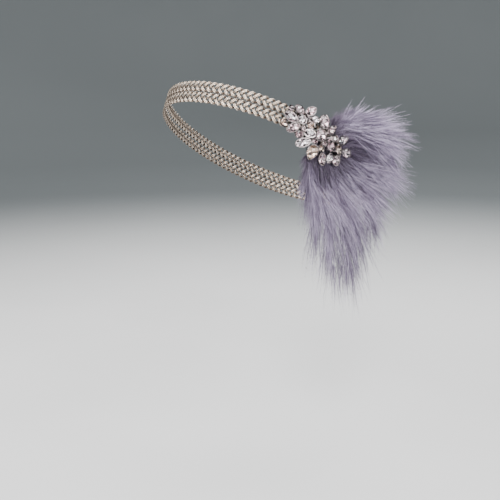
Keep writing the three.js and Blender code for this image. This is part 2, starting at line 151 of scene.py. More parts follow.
# Each plume has three layers on its shafts: a dark undercoat, tufts of down, and wisps that stand out. The
# undercoat's dark tones are painted shade deep in the plume, and the wisps' light tones are painted light on
# what stands out.
Layer = namedtuple("Layer", "name barbs sizes")
LAYERS = (
    Layer(
        "undercoat",
        850,
        {
            "Barbs per Tuft": 3,
            "Deepest": -1.0,
            "Proudest": 0.1,
            "Darkest": 0.05,
            "Lightest": 0.4,
            "Length Share": 0.9,
            "Barb Steps": 5,
            "Barb Radius": 0.09 * MM,
            "Bend": 0.25,
            "Scatter": 0.5,
            "Drift": 4 * MM,
            "Frizz": 2 * MM,
            "Hairs per Barb": 13,
            "Hair Length": 5 * MM,
            "Hair Radius": 0.085 * MM,
        },
    ),
    Layer(
        "down",
        1500,
        {
            "Barbs per Tuft": 3,
            "Deepest": -0.5,
            "Proudest": 1.0,
            "Darkest": -0.25,
            "Lightest": 1.15,
            "Length Share": 1.0,
            "Barb Steps": 6,
            "Barb Radius": 0.08 * MM,
            "Bend": 0.25,
            "Scatter": 0.2,
            "Drift": 5 * MM,
            "Frizz": 3 * MM,
            "Hairs per Barb": 16,
            "Hair Length": 3.2 * MM,
            "Hair Radius": 0.056 * MM,
        },
    ),
    Layer(
        "wisps",
        480,
        {
            "Barbs per Tuft": 2,
            "Deepest": -0.4,
            "Proudest": 1.0,
            "Darkest": 0.6,
            "Lightest": 1.2,
            "Length Share": 1.2,
            "Barb Steps": 8,
            "Barb Radius": 0.13 * MM,
            "Bend": 0.15,
            "Scatter": 0.8,
            "Drift": 4 * MM,
            "Frizz": 2 * MM,
            "Hairs per Barb": 22,
            "Hair Length": 1.5 * MM,
            "Hair Radius": 0.066 * MM,
        },
    ),
)
# A pair is the least and the most of a draw. A four is two shares along a shaft or a barb, and the factor at
# each.
EDGE_REACH = 0.3
LOCK_OPENING = (0.0, 0.5, 0.1, 0.55)
LEAN_ALONG = (0.4, 1.0, 1.0, 0.7)
LENGTH_ALONG = (0.0, 0.4, 0.6, 1.0)
TUFT_LENGTHS = (0.6, 1.0)
BARB_LENGTHS = (0.75, 1.0)
BARB_SIDES = 3
STEM_TAPER = (0.1, 1.0, 1.0, 0.2)
HAIR_LEANS = (0.3, 1.1)
HAIR_LENGTHS = (0.45, 1.0)
HAIR_ALONG = (0.6, 1.0, 1.0, 0.3)
HAIR_SIDES = 3
TUFT_TONE_SHARE = 0.65
DRIFT_SCALE = 90.0
FRIZZ_SCALE = 70.0
FRIZZ_KINDS = 40.0
PLUME_SEEDS = 100
LAYER_SEEDS = 20
# What the growing of a plume is worked out from, and no material reads.
WORKING_ATTRIBUTES = (
    "sideways", "outward", "barb_length", "edge", "shade", "root", "run", "heading", "length", "barb"
)

# Brooch: stones are clear on silver foil and blush on blush foil in turn, apart from the golden ones.
StoneTint = namedtuple("StoneTint", "crystal crystal_colour foil foil_colour")
STONE_TINTS = (
    StoneTint("clear_crystal", (0.97, 0.92, 0.93, 1), "silver_foil", (0.82, 0.75, 0.77, 1)),
    StoneTint("blush_crystal", (0.96, 0.80, 0.82, 1), "blush_foil", (0.78, 0.58, 0.61, 1)),
    StoneTint("champagne_crystal", (0.96, 0.80, 0.68, 1), "gold_foil", (0.76, 0.52, 0.36, 1)),
)
GOLDEN_TINT = 2
GOLDEN_STONES = (
    "pear_stone_2", "marquise_stone_15", "marquise_stone_16", "marquise_stone_17", "round_stone_1"
)
# Facets: points closer than this are one, faces flatter than this are one facet, and facets that face away
# from the brooch's front by more than this are foiled. The two steps spread the facets' shares.
MERGE_DISTANCE = 0.002 * MM
FLAT_ANGLE = math.radians(0.5)
FOILED_FACING = -0.3
FACET_STEP = 0.618
STONE_STEP = 0.37

# Finishes: their colours, and how they change with noise, along a barb and from facet to facet. The dark
# colours for cord, silver and down that lie low or near a shaft's root are painted shade, and the foil's
# dark colour is a painted dark reflection on some facets.
CORD_DULL = (0.58, 0.465, 0.37, 1)
CORD_BRIGHT = (0.77, 0.66, 0.55, 1)
CORD_PAINTED_SHADE = (0.10, 0.072, 0.056, 1)
SILVER = (0.46, 0.40, 0.40, 1)
SILVER_PAINTED_SHADE = (0.04, 0.026, 0.028, 1)
CRYSTAL_BRIGHT = (0.97, 0.96, 0.97, 1)
FOIL_BRIGHT = (0.95, 0.94, 0.95, 1)
FOIL_PAINTED_DARK_REFLECTION = (0.34, 0.26, 0.28, 1)
PAINTED_DARK_FACETS = (0.1, 0.3)
DOWN_DEEP = (0.10, 0.070, 0.13, 1)
DOWN_LIGHT = (0.60, 0.52, 0.70, 1)
DOWN_ROOT_PAINTED_SHADE = (0.06, 0.035, 0.07, 1)
DOWN_PAINTED_SHADE = (0.035, 0.02, 0.04, 1)
# Barb tips lighten, partly the down's own colour and partly a painted highlight; roots get painted shade.
DOWN_TIPS = (0.3, 1.0, 0.75, 1.25)
DOWN_MOTTLE = (0.35, 0.65, 0.65, 1.2)
DOWN_ROOT_SHADE = (0.05, 0.45, 0.55, 0.0)
DOWN_RECESS_SHADE = 0.6
FLOOR_DULL = (0.58, 0.58, 0.58, 1)
FLOOR_BRIGHT = (0.64, 0.64, 0.64, 1)
WALL = (0.15, 0.165, 0.17, 1)
AIR = (0.8, 0.83, 0.86, 1)
NOISE_LOW = 0.3
NOISE_HIGH = 0.7
NOISE_MIDDLE = (0.5, 0.5, 0.5)

# Camera and room. The room's profile is radius and rise, and each light is square and faces the same point.
CAMERA_PLACE = (0.4561, -0.5680, 0.0798)
CAMERA_TURN = (math.radians(78), 0, math.radians(40))
CAMERA_LENS = 72
CAMERA_SENSOR = 36
FLOOR_LEVEL = -0.225
ROOM_SIDES = 96
ROOM_PROFILE = (
    (0.02, 0.0), (1.3, 0.0), (1.5, 0.03), (1.64, 0.10), (1.74, 0.22), (1.8, 0.4), (1.8, 1.5)
)
FLOOR_REACH = 0.35
WALL_REACH = 1.3
AIR_STRENGTH = 0.06
LIGHT_AIM = Vector((0.03, -0.02, 0.0))
SoftLight = namedtuple("SoftLight", "name place size watts")
SOFT_LIGHTS = (
    SoftLight("window_light", (-0.35, -1.0, 0.9), 1.0, 36),
    SoftLight("side_light", (1.1, -0.35, 0.55), 0.6, 13),
    SoftLight("top_light", (0.25, 0.35, 1.2), 0.9, 20),
    SoftLight("spark_light", (0.75, -0.9, 0.75), 0.25, 12),
    SoftLight("back_light", (-0.5, 1.0, 0.7), 0.8, 12),
)


class Graph:
    """Adds nodes to a tree. A socket is set to a value, or linked where it is given another socket."""

    def __init__(self, tree):
        self.tree = tree

    def node(self, kind, sockets=None, **settings):
        node = self.tree.nodes.new(kind)
        for name, value in settings.items():
            setattr(node, name, value)
        for key, value in (sockets or {}).items():
            self.fill(node.inputs[key], value)
        return node

    def fill(self, socket, value):
        if isinstance(value, bpy.types.NodeSocket):
            self.tree.links.new(value, socket)
        else:
            socket.default_value = value

    def math(self, operation, *values):
        return self.node("ShaderNodeMath", dict(enumerate(values)), operation=operation).outputs[0]

    def vector(self, operation, *values):
        return self.node("ShaderNodeVectorMath", dict(enumerate(values)), operation=operation).outputs[0]

    def length(self, vector):
        return self.node("ShaderNodeVectorMath", {0: vector}, operation="LENGTH").outputs["Value"]

    def scaled(self, vector, factor):
        return self.node("ShaderNodeVectorMath", {0: vector, "Scale": factor}, operation="SCALE").outputs[0]

    def total(self, *vectors):
        whole = vectors[0]
        for vector in vectors[1:]:
            whole = self.vector("ADD", whole, vector)
        return whole

    def ramp(self, value, start, end, low=0.0, high=1.0):
        sockets = {"Value": value, "From Min": start, "From Max": end, "To Min": low, "To Max": high}
        return self.node("ShaderNodeMapRange", sockets, interpolation_type="SMOOTHSTEP").outputs[0]

    def colours(self, factor, first, second):
        sockets = {0: factor, 6: first, 7: second}
        return self.node("ShaderNodeMix", sockets, data_type="RGBA").outputs[2]

    def random(self, low, high, identity, seed):
        sockets = {2: low, 3: high, "ID": identity, "Seed": seed}
        return self.node("FunctionNodeRandomValue", sockets).outputs[1]

    def named(self, name, data_type="FLOAT"):
        return self.node("GeometryNodeInputNamedAttribute", {"Name": name}, data_type=data_type).outputs[0]

    def stored(self, geometry, name, value, data_type="FLOAT"):
        sockets = {"Geometry": geometry, "Name": name, "Value": value}
        return self.node("GeometryNodeStoreNamedAttribute", sockets, data_type=data_type).outputs[0]

    def painted(self, name, output="Fac"):
        return self.node("ShaderNodeAttribute", attribute_name=name).outputs[output]

    def place(self):
        return self.node("ShaderNodeTexCoord").outputs["Object"]

    def noise(self, place, scale, detail):
        sockets = {"Vector": place, "Scale": scale, "Detail": detail}
        return self.node("ShaderNodeTexNoise", sockets).outputs["Fac"]

    def mottled(self, noise, low, high):
        return self.ramp(noise, NOISE_LOW, NOISE_HIGH, low, high)


def new_tree(kind, name, inputs, outputs):
    """A new node tree with named inputs and outputs. Returns its graph and its input sockets."""
    tree = bpy.data.node_groups.new(name, kind)
    for way, labels in (("INPUT", inputs), ("OUTPUT", outputs)):
        for label, socket in labels.items():
            tree.interface.new_socket(label, in_out=way, socket_type=f"NodeSocket{socket}")
    graph = Graph(tree)
    return graph, graph.node("NodeGroupInput").outputs


def geometry_tree(name, inputs):
    shape = {"Geometry": "Geometry"}
    return new_tree("GeometryNodeTree", name, {**shape, **inputs}, shape)


def close_tree(graph, geometry, material):
    """Ends a geometry tree in one real mesh of one material."""
    real = graph.node("GeometryNodeRealizeInstances", {"Geometry": geometry}).outputs[0]
    dressed = graph.node("GeometryNodeSetMaterial", {"Geometry": real, "Material": material}).outputs[0]
    graph.node("NodeGroupOutput", {"Geometry": dressed})


def grown(name, base, tree, values):
    """Runs a geometry tree on a base mesh and keeps the result as a plain mesh at the origin."""
    piece = bpy.data.objects.new(name, base)
    bpy.context.scene.collection.objects.link(piece)
    modifier = piece.modifiers.new(name, "NODES")
    modifier.node_group = tree
    for item in tree.interface.items_tree:
        if item.in_out == "INPUT" and item.name in values:
            modifier[item.identifier] = values[item.name]
    depsgraph = bpy.context.evaluated_depsgraph_get()
    mesh = bpy.data.meshes.new_from_object(piece.evaluated_get(depsgraph))
    piece.modifiers.clear()
    piece.data = mesh
    mesh.name = name
    return piece


# Fit surface
def loop_point(angle):
    depth = 1 / math.hypot(math.cos(BAND_TILT) / FIT.y, math.sin(BAND_TILT) / FIT.z) * math.sin(angle)
    return Vector((FIT.x * math.cos(angle), depth * math.cos(BAND_TILT), -depth * math.sin(BAND_TILT)))


def fit_share(point):
    return Vector((point.x / FIT.x, point.y / FIT.y, point.z / FIT.z))


BROOCH_POINT = loop_point(BROOCH_ANGLE)
BROOCH_NORMAL = fit_share(fit_share(BROOCH_POINT)).normalized()
SPRAY_BACK = Vector((-BROOCH_NORMAL.y, BROOCH_NORMAL.x, 0)).normalized()
SPRAY_DOWN = SPRAY_BACK.cross(BROOCH_NORMAL)


# Band
def loop_path():
    """The band's centreline as a closed chain of edges."""
    points = [loop_point(2 * math.pi * i / LOOP_POINTS) for i in range(LOOP_POINTS)]
    edges = [(i, (i + 1) % LOOP_POINTS) for i in range(LOOP_POINTS)]
    mesh = bpy.data.meshes.new("loop_path")
    mesh.from_pydata(points, edges, [])
    return mesh


def plaited_row_tree():
    """One row of the band: cords that weave in three strands along the loop."""
    graph, given = geometry_tree(
        "plaited_row",
        {
            "Fit": "Vector",
            "Row Offset": "Float",
            "Periods": "Int",
            "Steps per Period": "Int",
            "Strands": "Int",
            "Cords per Strand": "Int",
            "Plait Reach": "Float",
            "Plait Depth": "Float",
            "Cord Radius": "Float",
            "Cord Spacing": "Float",
            "Material": "Material",
        },
    )
    path = graph.node("GeometryNodeMeshToCurve", {"Mesh": given["Geometry"]}).outputs[0]
    steps = graph.math("MULTIPLY", given["Periods"], given["Steps per Period"])
    path = graph.node("GeometryNodeResampleCurve", {"Curve": path, "Count": steps}).outputs[0]
    cord_count = graph.math("MULTIPLY", given["Strands"], given["Cords per Strand"])
    copies = graph.node(
        "GeometryNodeDuplicateElements", {"Geometry": path, "Amount": cord_count}, domain="SPLINE"
    )
    number = copies.outputs["Duplicate Index"]
    strand = graph.math("FLOOR", graph.math("DIVIDE", number, given["Cords per Strand"]))
    cord = graph.math("MODULO", number, given["Cords per Strand"])

    # Each strand swings from edge to edge, is on top on its way out and below on its way back.
    factor = graph.node("GeometryNodeSplineParameter").outputs["Factor"]
    turns = graph.math(
        "ADD",
        graph.math("MULTIPLY", factor, given["Periods"]),
        graph.math("DIVIDE", strand, given["Strands"]),
    )
    phase = graph.math("MULTIPLY", turns, 2 * math.pi)
    swing = graph.math("MULTIPLY", given["Plait Reach"], graph.math("SINE", phase))
    twice = graph.math("SINE", graph.math("MULTIPLY", phase, 2))
    rise = graph.math("MULTIPLY", given["Plait Depth"], twice)

    # The cords of a strand lie side by side, square to the way that the strand runs.
    loop_length = graph.node("GeometryNodeSplineLength").outputs["Length"]
    pace = graph.math("DIVIDE", graph.math("MULTIPLY", given["Periods"], 2 * math.pi), loop_length)
    slope = graph.math(
        "MULTIPLY",
        graph.math("MULTIPLY", given["Plait Reach"], pace),
        graph.math("COSINE", phase),
    )
    middle = graph.math("DIVIDE", graph.math("SUBTRACT", given["Cords per Strand"], 1), 2)
    aside = graph.math("MULTIPLY", given["Cord Spacing"], graph.math("SUBTRACT", cord, middle))
    run = graph.math("SQRT", graph.math("ADD", graph.math("MULTIPLY", slope, slope), 1))
    aside_up = graph.math("DIVIDE", aside, run)
    aside_back = graph.math("MULTIPLY", graph.math("DIVIDE", graph.math("MULTIPLY", aside, slope), run), -1)

    position = graph.node("GeometryNodeInputPosition").outputs[0]
    tangent = graph.node("GeometryNodeInputTangent").outputs[0]
    fit_squared = graph.vector("MULTIPLY", given["Fit"], given["Fit"])
    normal = graph.vector("NORMALIZE", graph.vector("DIVIDE", position, fit_squared))
    upward = graph.vector("CROSS_PRODUCT", normal, tangent)
    offset = graph.total(
        graph.scaled(upward, graph.math("ADD", graph.math("ADD", given["Row Offset"], swing), aside_up)),
        graph.scaled(normal, rise),
        graph.scaled(tangent, aside_back),
    )
    woven = graph.node(
        "GeometryNodeSetPosition", {"Geometry": copies.outputs[0], "Offset": offset}
    ).outputs[0]
    woven = graph.stored(woven, "turns", turns)
    woven = graph.stored(woven, "tone", graph.random(0.0, 1.0, number, CORD_SEED))

    section = {"Resolution": CORD_SIDES, "Radius": given["Cord Radius"]}
    profile = graph.node("GeometryNodeCurvePrimitiveCircle", section)
    around = graph.vector("NORMALIZE", graph.node("GeometryNodeInputPosition").outputs[0])
    profile = graph.stored(profile.outputs[0], "around", around, "FLOAT_VECTOR")
    cords = graph.node("GeometryNodeCurveToMesh", {"Curve": woven, "Profile Curve": profile}).outputs[0]
    close_tree(graph, cords, given["Material"])
    return graph.tree


# Plumes
def eased(value, start, end):
    share = min(1, max(0, (value - start) / (end - start)))
    return share * share * (3 - 2 * share)


def between(stations, at):
    for (left, low), (right, high) in zip(stations, stations[1:]):
        if at <= right:
            return low + (high - low) * (at - left) / (right - left)
    return stations[-1][1]


def spray_point(back, down, out):
    return BROOCH_POINT + (SPRAY_BACK * back + SPRAY_DOWN * down + BROOCH_NORMAL * out) * MM


def fit_drop(back, down):
    """How far the ellipsoid has dropped away below a point of the spray's plane, in millimetres."""
    start = fit_share(spray_point(back, down, 0))
    step = fit_share(BROOCH_NORMAL * MM)
    a = step.dot(step)
    b = start.dot(step)
    c = start.dot(start) - 1
    return (b - math.sqrt(max(0, b * b - a * c))) / a


def lock_station(quill, lock, aside, at):
    """A point of a lock's middle, and its heading there. The roots lie side by side across the quill."""
    start = math.radians(lock.heading)
    curl = math.radians(lock.curl)
    heading = start + curl * at
    fan = math.radians(quill.heading)
    shift = quill.spread * aside * (1 - eased(at, ROOTS_SIDE_BY_SIDE, ROOTS_TOGETHER))
    back = quill.back - shift * math.sin(fan) + lock.reach * (math.sin(heading) - math.sin(start)) / curl
    down = quill.down + shift * math.cos(fan) + lock.reach * (math.cos(start) - math.cos(heading)) / curl
    free = eased(lock.reach * at, LIFT_START, LIFT_END)
    rooted = QUILL_LEVEL - fit_drop(back, down)
    out = rooted + (lock.lift * between(LIFT_STATIONS, at) - rooted) * free
    return spray_point(back, down, out), heading


def lock_guides(name, quill, locks, growth):
    """A shaft along each lock as a chain of edges. Its points hold the lock's half width and half depth, the
    length of its barbs, the side of the plume that it lies on, and its painted shade, which is deep low down
    and in the cleft between two plumes, times the plume's own painted light and shade."""
    points, edges = [], []
    held = {"sideways": [], "outward": [], "barb_length": [], "edge": [], "shade": []}
    for lock_number, lock in enumerate(locks):
        aside = 2 * lock_number / (len(locks) - 1) - 1
        length = min(growth.length, LONGEST_BARB * lock.reach)
        shaft = lock._replace(reach=lock.reach - SHAFT_INSET * length, curl=lock.curl * SHAFT_CURL)
        for i in range(GUIDE_POINTS):
            if i:
                edges.append((len(points) - 1, len(points)))
            at = GUIDE_START + (1 - GUIDE_START) * i / (GUIDE_POINTS - 1)
            point, heading = lock_station(quill, shaft, aside, at)
            across = SPRAY_DOWN * math.cos(heading) - SPRAY_BACK * math.sin(heading)
            points.append(point)
            held["sideways"].append(across * lock.width / 2 * MM)
            held["outward"].append(BROOCH_NORMAL * lock.width / 2 * MM)
            held["barb_length"].append(length * MM)
            # Painted shade: low locks and the root of a cleft are darkened, times the plume's painted light
            # and shade.
            raised = eased(lock.lift, DEEPEST_LIFT, LIGHTEST_LIFT)
            shade = DEEPEST_SHADE + (1 - DEEPEST_SHADE) * raised
            cleft = lock.cleft * (1 - eased(at, CLEFT_FADES, CLEFT_ENDS))
            held["shade"].append(growth.shade * shade * (1 - cleft))
            held["edge"].append(max(0, aside * growth.open_side) * growth.open_side)
    mesh = bpy.data.meshes.new(name)
    mesh.from_pydata(points, edges, [])
    for label, values in held.items():
        is_vector = label in ("sideways", "outward")
        attribute = mesh.attributes.new(label, "FLOAT_VECTOR" if is_vector else "FLOAT", "POINT")
        for item, value in zip(attribute.data, values):
            setattr(item, "vector" if is_vector else "value", value)
    return mesh


def marabou_tree():
    """Down on a plume's shafts: barbs that leave a shaft to all sides, and fine hairs along each barb."""
    graph, given = geometry_tree(
        "marabou_plume",
        {
            "Shaft Radius": "Float",
            "Barbs per Shaft": "Int",
            "Barb Steps": "Int",
            "Barbs per Tuft": "Int",
            "Deepest": "Float",
            "Proudest": "Float",
            "Darkest": "Float",
            "Lightest": "Float",
            "Length Share": "Float",
            "Barb Radius": "Float",
            "Least Lean": "Float",
            "Most Lean": "Float",
            "Bend": "Float",
            "Scatter": "Float",
            "Drift": "Float",
            "Frizz": "Float",
            "Hairs per Barb": "Int",
            "Hair Length": "Float",
            "Hair Radius": "Float",
            "Seed": "Int",
            "Material": "Material",
        },
    )

    def drawn(low, high, identity, step):
        return graph.random(low, high, identity, graph.math("ADD", given["Seed"], step))

    def wandering(vector, stray, scale):
        sockets = {"Vector": vector, "W": stray, "Scale": scale, "Detail": 1.0}
        noise = graph.node("ShaderNodeTexNoise", sockets, noise_dimensions="4D").outputs["Color"]
        return graph.vector("SUBTRACT", noise, NOISE_MIDDLE)

    spline_share = graph.node("GeometryNodeSplineParameter").outputs["Factor"]
    index = graph.node("GeometryNodeInputIndex").outputs[0]
    shafts = graph.node("GeometryNodeMeshToCurve", {"Mesh": given["Geometry"]}).outputs[0]
    shafts = graph.stored(shafts, "share", spline_share)
    shafts = graph.stored(shafts, "tone", SHAFT_TONE)
    spots = graph.node("GeometryNodeCurveToPoints", {"Curve": shafts, "Count": given["Barbs per Shaft"]})

    # The barbs of a tuft leave the lock together on the side that they are rooted on, with some scatter. On
    # the plume's own edges they keep closer to the shaft, and all lean less towards the lock's end.
    tuft = graph.math("FLOOR", graph.math("DIVIDE", index, given["Barbs per Tuft"]))
    share = graph.named("share")
    edge = graph.named("edge")
    sideways = graph.named("sideways", "FLOAT_VECTOR")
    outward = graph.named("outward", "FLOAT_VECTOR")
    aside = drawn(
        graph.ramp(edge, -1.0, 0.0, -EDGE_REACH, -1.0),
        graph.ramp(edge, 0.0, 1.0, 1.0, EDGE_REACH),
        tuft,
        1,
    )
    proud = drawn(given["Deepest"], given["Proudest"], tuft, 2)
    opening = graph.ramp(share, *LOCK_OPENING)
    root_offset = graph.total(
        graph.scaled(sideways, graph.math("MULTIPLY", aside, opening)),
        graph.scaled(outward, graph.math("MULTIPLY", proud, opening)),
    )
    roots = graph.node(
        "GeometryNodeSetPosition", {"Geometry": spots.outputs["Points"], "Offset": root_offset}
    ).outputs[0]
    scatter_aside = graph.math("MULTIPLY", drawn(-1.0, 1.0, index, 3), given["Scatter"])
    scatter_proud = graph.math("MULTIPLY", drawn(-1.0, 1.0, index, 4), given["Scatter"])
    swing = graph.total(
        graph.scaled(graph.vector("NORMALIZE", sideways), graph.math("ADD", aside, scatter_aside)),
        graph.scaled(graph.vector("NORMALIZE", outward), graph.math("ADD", proud, scatter_proud)),
    )
    lean = graph.math(
        "MULTIPLY",
        drawn(given["Least Lean"], given["Most Lean"], tuft, 5),
        graph.ramp(share, *LEAN_ALONG),
    )
    heading = graph.total(
        graph.scaled(spots.outputs["Tangent"], graph.math("COSINE", lean)),
        graph.scaled(swing, graph.math("SINE", lean)),
    )
    length = graph.math(
        "MULTIPLY",
        graph.math("MULTIPLY", graph.named("barb_length"), given["Length Share"]),
        graph.math(
            "MULTIPLY",
            graph.math("MULTIPLY", drawn(*TUFT_LENGTHS, tuft, 6), drawn(*BARB_LENGTHS, index, 7)),
            graph.ramp(share, *LENGTH_ALONG),
        ),
    )
    roots = graph.stored(roots, "root", graph.node("GeometryNodeInputPosition").outputs[0], "FLOAT_VECTOR")
    roots = graph.stored(roots, "run", spots.outputs["Tangent"], "FLOAT_VECTOR")
    roots = graph.stored(roots, "heading", graph.vector("NORMALIZE", heading), "FLOAT_VECTOR")
    roots = graph.stored(roots, "length", length)
    roots = graph.stored(roots, "barb", index, "INT")
    tone = graph.math(
        "ADD",
        graph.math("MULTIPLY", drawn(given["Darkest"], given["Lightest"], tuft, 12), TUFT_TONE_SHARE),
        graph.math("MULTIPLY", drawn(given["Darkest"], given["Lightest"], index, 13), 1 - TUFT_TONE_SHARE),
    )
    # The tone differs at random by tuft and barb, and is scaled by the lock's painted light and shade.
    roots = graph.stored(roots, "tone", graph.math("MULTIPLY", tone, graph.named("shade")))

    # A barb bends back towards the way that its shaft runs. Barbs drift together and frizz one by one.
    line = graph.node("GeometryNodeCurvePrimitiveLine").outputs[0]
    line = graph.node("GeometryNodeResampleCurve", {"Curve": line, "Count": given["Barb Steps"]}).outputs[0]
    barbs = graph.node("GeometryNodeInstanceOnPoints", {"Points": roots, "Instance": line}).outputs[0]
    barbs = graph.node("GeometryNodeRealizeInstances", {"Geometry": barbs}).outputs[0]
    reach = graph.math("MULTIPLY", graph.named("length"), spline_share)
    bend = graph.math("MULTIPLY", graph.math("MULTIPLY", reach, spline_share), given["Bend"])
    path = graph.total(
        graph.named("root", "FLOAT_VECTOR"),
        graph.scaled(graph.named("heading", "FLOAT_VECTOR"), reach),
        graph.scaled(graph.named("run", "FLOAT_VECTOR"), bend),
    )
    stray = drawn(0.0, FRIZZ_KINDS, graph.named("barb", "INT"), 8)
    drift = graph.math("MULTIPLY", given["Drift"], spline_share)
    frizz = graph.math("MULTIPLY", given["Frizz"], spline_share)
    path = graph.total(
        path,
        graph.scaled(wandering(path, given["Seed"], DRIFT_SCALE), drift),
        graph.scaled(wandering(path, stray, FRIZZ_SCALE), frizz),
    )
    barbs = graph.node("GeometryNodeSetPosition", {"Geometry": barbs, "Position": path}).outputs[0]
    barbs = graph.stored(barbs, "along", spline_share)

    # Fine hairs lean out from the barb towards its tip.
    points = graph.node("GeometryNodeCurveToPoints", {"Curve": barbs, "Count": given["Hairs per Barb"]})
    along_barb = graph.node(
        "FunctionNodeAlignRotationToVector", {"Vector": points.outputs["Tangent"]}, axis="Z"
    ).outputs[0]
    hair_lean = {"X": drawn(*HAIR_LEANS, index, 9), "Z": drawn(0.0, 2 * math.pi, index, 10)}
    leaning = graph.node("ShaderNodeCombineXYZ", hair_lean).outputs[0]
    leaning = graph.node("FunctionNodeEulerToRotation", {0: leaning}).outputs[0]
    turned = graph.node(
        "FunctionNodeRotateRotation", {0: along_barb, 1: leaning}, rotation_space="LOCAL"
    ).outputs[0]
    hair = graph.node(
        "GeometryNodeMeshCone",
        {"Vertices": HAIR_SIDES, "Radius Bottom": given["Hair Radius"], "Depth": given["Hair Length"]},
    ).outputs[0]
    hair_scale = graph.math(
        "MULTIPLY",
        drawn(*HAIR_LENGTHS, index, 11),
        graph.ramp(graph.named("along"), *HAIR_ALONG),
    )
    hairs = graph.node(
        "GeometryNodeInstanceOnPoints",
        {
            "Points": points.outputs["Points"],
            "Instance": hair,
            "Rotation": turned,
            "Scale": graph.node("ShaderNodeCombineXYZ", {"X": 1.0, "Y": 1.0, "Z": hair_scale}).outputs[0],
        },
    ).outputs[0]

    joined = graph.node("GeometryNodeJoinGeometry")
    stems = ((shafts, given["Shaft Radius"], SHAFT_SIDES), (barbs, given["Barb Radius"], BARB_SIDES))
    for curves, radius, sides in stems:
        profile = graph.node("GeometryNodeCurvePrimitiveCircle", {"Resolution": sides, "Radius": radius})
        tube = {
            "Curve": curves,
            "Profile Curve": profile.outputs[0],
            "Scale": graph.ramp(spline_share, *STEM_TAPER),
            "Fill Caps": True,
        }
        graph.tree.links.new(graph.node("GeometryNodeCurveToMesh", tube).outputs[0], joined.inputs[0])
    graph.tree.links.new(hairs, joined.inputs[0])
    plume = joined.outputs[0]
    for label in WORKING_ATTRIBUTES:
        plume = graph.node("GeometryNodeRemoveAttribute", {"Geometry": plume, "Name": label}).outputs[0]
    close_tree(graph, plume, given["Material"])
    return graph.tree


# Crystals
def cut_crystal(node, number, clear, foil):
    """A stone of the brooch with a clear crown and a foiled back. Each facet holds a share of its own."""
    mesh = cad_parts[node].data.copy()
    mesh.name = node.replace("stone", "crystal")
    mesh.materials.clear()
    mesh.materials.append(clear)
    mesh.materials.append(foil)
    shell = bmesh.new()
    shell.from_mesh(mesh)
    bmesh.ops.remove_doubles(shell, verts=shell.verts, dist=MERGE_DISTANCE)
    bmesh.ops.dissolve_limit(shell, angle_limit=FLAT_ANGLE, verts=shell.verts, edges=shell.edges)
    share = shell.faces.layers.float.new("facet")
    for face_number, face in enumerate(shell.faces):
        face[share] = (FACET_STEP * face_number + STONE_STEP * number) % 1
        face.smooth = False
        face.material_index = 1 if face.normal.dot(BROOCH_NORMAL) < FOILED_FACING else 0
    shell.to_mesh(mesh)
    shell.free()
    piece = bpy.data.objects.new(mesh.name, mesh)
    bpy.context.scene.collection.objects.link(piece)
    return piece


# Materials
def painted_shade_group():
    """Mask of painted shade on what lies low: 1 near the fit surface and 0 well proud of it, broken up by a
    fine mottle.
    """
    graph, given = new_tree(
        "ShaderNodeTree",
        "low_painted_shade",
        {"Low": "Float", "High": "Float", "Mottle": "Float", "Mottle Scale": "Float"},
        {"Mask": "Float", "Mottle": "Float"},
    )
    place = graph.place()
    share = graph.length(graph.vector("DIVIDE", place, tuple(FIT)))
    height = graph.math("MULTIPLY", graph.math("SUBTRACT", share, 1), graph.length(place))
    height = graph.math("ABSOLUTE", height)
    noise = graph.noise(place, given["Mottle Scale"], detail=4.0)
    drift = graph.math("MULTIPLY", graph.math("SUBTRACT", noise, 0.5), given["Mottle"])
    reach = graph.math("SUBTRACT", given["High"], given["Low"])
    level = graph.math("ADD", height, graph.math("MULTIPLY", drift, reach))
    shade_mask = graph.ramp(level, given["Low"], given["High"], 1.0, 0.0)
    graph.node("NodeGroupOutput", {"Mask": shade_mask, "Mottle": noise})
    return graph.tree


def new_material(name, **constants):
    """A node material. Returns it, its graph and its shader, with the constant sockets set."""
    material = bpy.data.materials.new(name)
    material.use_nodes = True
    shader = material.node_tree.nodes["Principled BSDF"]
    for label, value in constants.items():
        shader.inputs[label.replace("_", " ")].default_value = value
    return material, Graph(material.node_tree), shader


def placed_group(graph, tree, sockets):
    group = graph.node("ShaderNodeGroup", node_tree=tree)
    for label, value in sockets.items():
        graph.fill(group.inputs[label], value)
    return group.outputs


def braid_material(shade_group):
    material, graph, shader = new_material("champagne_cord", Metallic=0.85)
    low = placed_group(
        graph, shade_group, {"Low": 0.1 * MM, "High": 0.75 * MM, "Mottle": 0.3, "Mottle Scale": 900.0}
    )
    thread = graph.colours(graph.painted("tone"), CORD_DULL, CORD_BRIGHT)
    # Painted shade: cords turn dark where they lie low, in the slots between and under the strands.
    thread = graph.colours(low["Mask"], thread, CORD_PAINTED_SHADE)
    graph.fill(shader.inputs["Base Color"], thread)
    graph.fill(shader.inputs["Roughness"], graph.mottled(low["Mottle"], 0.2, 0.34))

    # The thread's twist: fine ridges that wind round the cord.
    split = graph.node("ShaderNodeSeparateXYZ", {0: graph.painted("around", "Vector")}).outputs
    wind = graph.math("MULTIPLY", graph.painted("turns"), 2 * math.pi * THREAD_TWISTS)
    ridge = graph.math(
        "ADD",
        graph.math("MULTIPLY", split["X"], graph.math("COSINE", wind)),
        graph.math("MULTIPLY", split["Y"], graph.math("SINE", wind)),
    )
    bump = graph.node("ShaderNodeBump", {"Strength": 0.5, "Distance": 0.06 * MM, "Height": ridge})
    graph.fill(shader.inputs["Normal"], bump.outputs[0])
    return material


